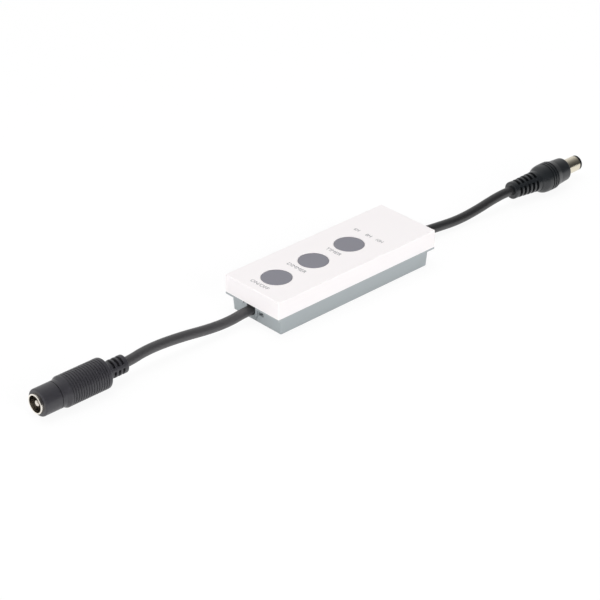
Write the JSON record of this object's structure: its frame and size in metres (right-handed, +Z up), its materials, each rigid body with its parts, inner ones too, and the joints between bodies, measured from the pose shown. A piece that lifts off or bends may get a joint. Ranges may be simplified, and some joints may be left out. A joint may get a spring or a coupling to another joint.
{
  "type": "light dimmer",
  "caption": "Slim in-line dimmer with a white top, grey base and round press keys, on a short cord with a low-voltage socket at one end and a barrel plug at the other.",
  "frame": {"origin": "middle of the housing's underside, on the surface that it lies on", "axes": "+X along the housing from the socket end to the plug end, +Z up out of the key face"},
  "size_m": [0.2373, 0.025, 0.013],
  "materials": {
    "white_plastic": "fine matt moulded",
    "grey_plastic": "fine matt moulded",
    "key_plastic": "matt",
    "cord_sheath": "satin flexible sheath",
    "grip_plastic": "satin moulded over the cord",
    "nickel": "bright plated",
    "black_plastic": "matt",
    "board": "green solder mask",
    "chip_plastic": "matt",
    "tin": "tinned",
    "lamp": "clear moulded",
    "capacitor_body": "moulded block",
    "wire_insulation": "insulated wire",
    "nylon": "natural nylon"
  },
  "bodies": {
    "housing": {"bottom_case": "grey_plastic", "chip_resistors": "chip_plastic", "circuit_board": "board", "control_chip": "chip_plastic", "dimmer_switch_base": "chip_plastic", "dimmer_switch_dome": "tin", "dimmer_switch_plate": "tin", "filter_capacitor": "capacitor_body", "input_cord": "cord_sheath", "input_cord_tail": "cord_sheath", "input_cord_tie": "nylon", "input_lead_wires": "wire_insulation", "jack_body": "grip_plastic", "jack_insulator": "black_plastic", "jack_nose": "grip_plastic", "jack_pin": "nickel", "jack_sleeve": "nickel", "jack_spring": "nickel", "on_off_switch_base": "chip_plastic", "on_off_switch_dome": "tin", "on_off_switch_plate": "tin", "output_cord": "cord_sheath", "output_cord_tail": "cord_sheath", "output_cord_tie": "nylon", "output_lead_wires": "wire_insulation", "plug_barrel": "nickel", "plug_body": "grip_plastic", "plug_contact": "nickel", "plug_insulator": "black_plastic", "power_transistor": "chip_plastic", "timer_lamps": "lamp", "timer_switch_base": "chip_plastic", "timer_switch_dome": "tin", "timer_switch_plate": "tin", "top_cover": "white_plastic", "voltage_regulator": "chip_plastic"},
    "on_off_key": {"on_off_button": "key_plastic", "on_off_switch_stem": "black_plastic"},
    "dimmer_key": {"dimmer_button": "key_plastic", "dimmer_switch_stem": "black_plastic"},
    "timer_key": {"timer_button": "key_plastic", "timer_switch_stem": "black_plastic"}
  },
  "joints": [
    {"name": "on_off_press", "type": "slide", "parent": "housing", "child": "on_off_key", "axis": [0, 0, -1], "range_m": [0, 0.0003], "stiffness_N_per_m": 4000, "springref_m": -0.0001},
    {"name": "dimmer_press", "type": "slide", "parent": "housing", "child": "dimmer_key", "axis": [0, 0, -1], "range_m": [0, 0.0003], "stiffness_N_per_m": 4000, "springref_m": -0.0001},
    {"name": "timer_press", "type": "slide", "parent": "housing", "child": "timer_key", "axis": [0, 0, -1], "range_m": [0, 0.0003], "stiffness_N_per_m": 4000, "springref_m": -0.0001}
  ]
}
